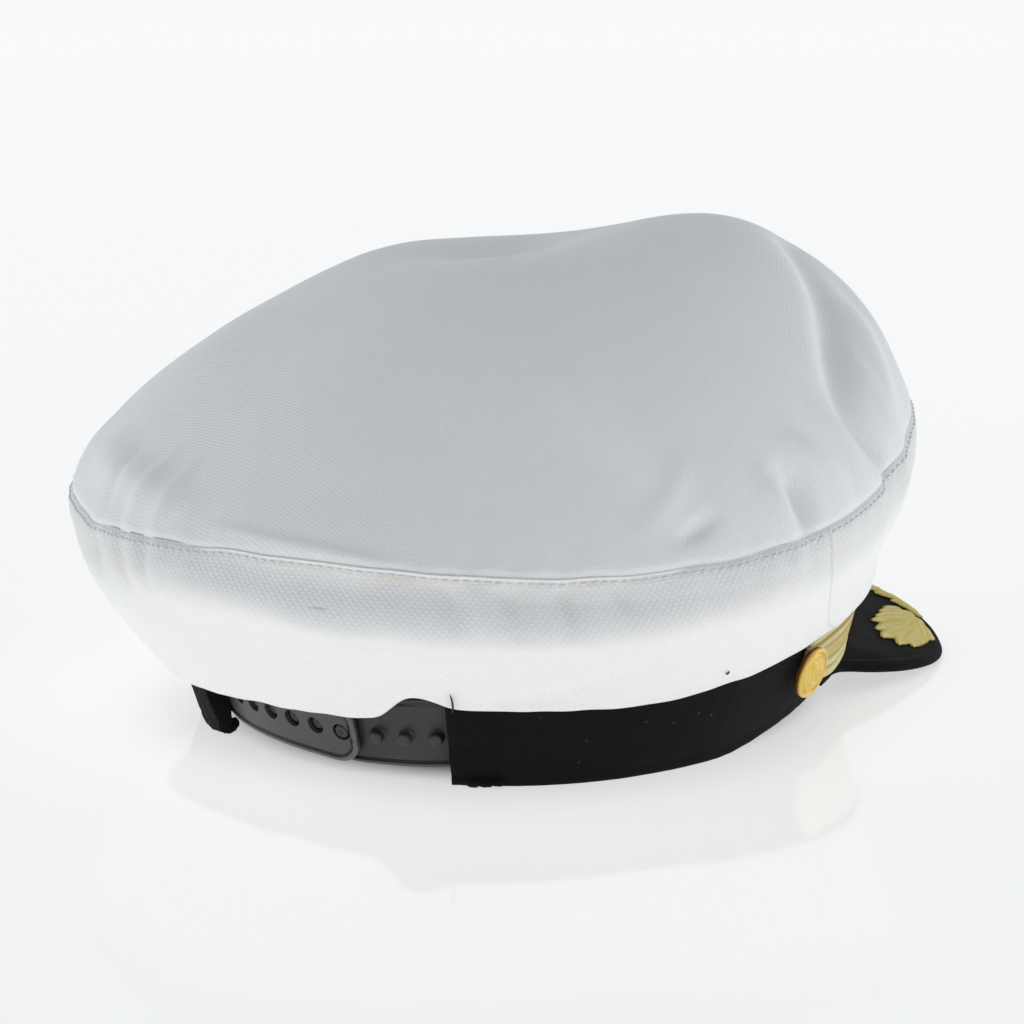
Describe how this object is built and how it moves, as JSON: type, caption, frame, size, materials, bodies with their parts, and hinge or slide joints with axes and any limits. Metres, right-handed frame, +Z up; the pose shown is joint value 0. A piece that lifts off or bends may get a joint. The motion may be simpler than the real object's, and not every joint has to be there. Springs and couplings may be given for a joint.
{
  "type": "sailor hat",
  "caption": "Soft sailor hat with a full white canvas crown, black band, stiff black cloth peak with gold leaf sprays, gold braid on gilt buttons and a plastic snap strap at the back.",
  "frame": {"origin": "on the surface that the hat rests on, under the middle of its whole outline", "axes": "+Z up through the crown, -Y towards the peak, +Y towards the snap strap, -X towards the wearer's right side"},
  "size_m": [0.2464, 0.2772, 0.1422],
  "materials": {
    "white_canvas": "matte plain-weave cotton canvas, slightly ribbed, off-white",
    "black_cloth": "matte black brushed cloth with a little lint",
    "peak_cloth": "matte black twill over a stiff board, with a rolled edge",
    "grey_plastic": "satin moulded dark grey polyethylene",
    "gold_thread": "metallic gold embroidery thread",
    "gold_braid": "woven gold lurex braid",
    "gilt_metal": "gilt pressed metal, satin"
  },
  "bodies": {
    "root": {"crown_top": "white_canvas", "crown_side_back": "white_canvas", "crown_side_front": "white_canvas", "band": "black_cloth", "peak": "peak_cloth", "side_leaves_right": "gold_thread", "side_leaves_left": "gold_thread", "front_leaves_right": "gold_thread", "front_leaves_left": "gold_thread", "snap_strap_pegs": "grey_plastic", "snap_strap_holes": "grey_plastic", "gold_braid": "gold_braid", "button_right": "gilt_metal", "button_left": "gilt_metal"}
  },
  "joints": []
}
